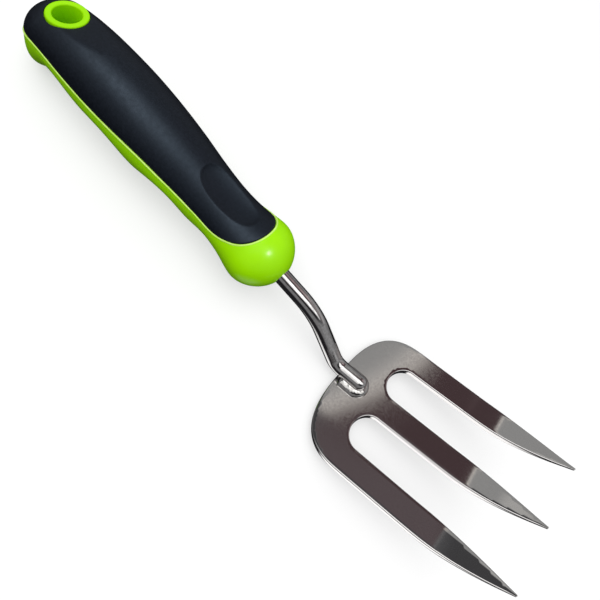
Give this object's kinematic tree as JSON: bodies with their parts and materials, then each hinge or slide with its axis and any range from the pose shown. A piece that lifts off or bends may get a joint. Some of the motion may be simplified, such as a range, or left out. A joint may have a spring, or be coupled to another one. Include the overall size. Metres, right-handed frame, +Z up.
{
  "type": "hand fork",
  "caption": "Three-tine hand fork: flat stamped steel head welded to a cranked steel rod, in a moulded handle with a soft grip, thumb recess and hang hole.",
  "frame": {"origin": "middle of the box's underside, with the tool lying on its butt and on the head's rear edge", "axes": "+X from the butt of the handle to the tines, +Z up through the thumb side, +Y to the left"},
  "size_m": [0.304, 0.075, 0.05],
  "materials": {
    "polished_steel": "mirror polished stainless",
    "rod_steel": "polished rod",
    "weld_metal": "ground weld",
    "lime_plastic": "glossy moulded plastic",
    "soft_rubber": "matt soft-touch overmoulding"
  },
  "bodies": {
    "root": {"fork_head": "polished_steel", "shank": "rod_steel", "weld_bead": "weld_metal", "handle_core": "lime_plastic", "soft_grip": "soft_rubber"}
  },
  "joints": []
}
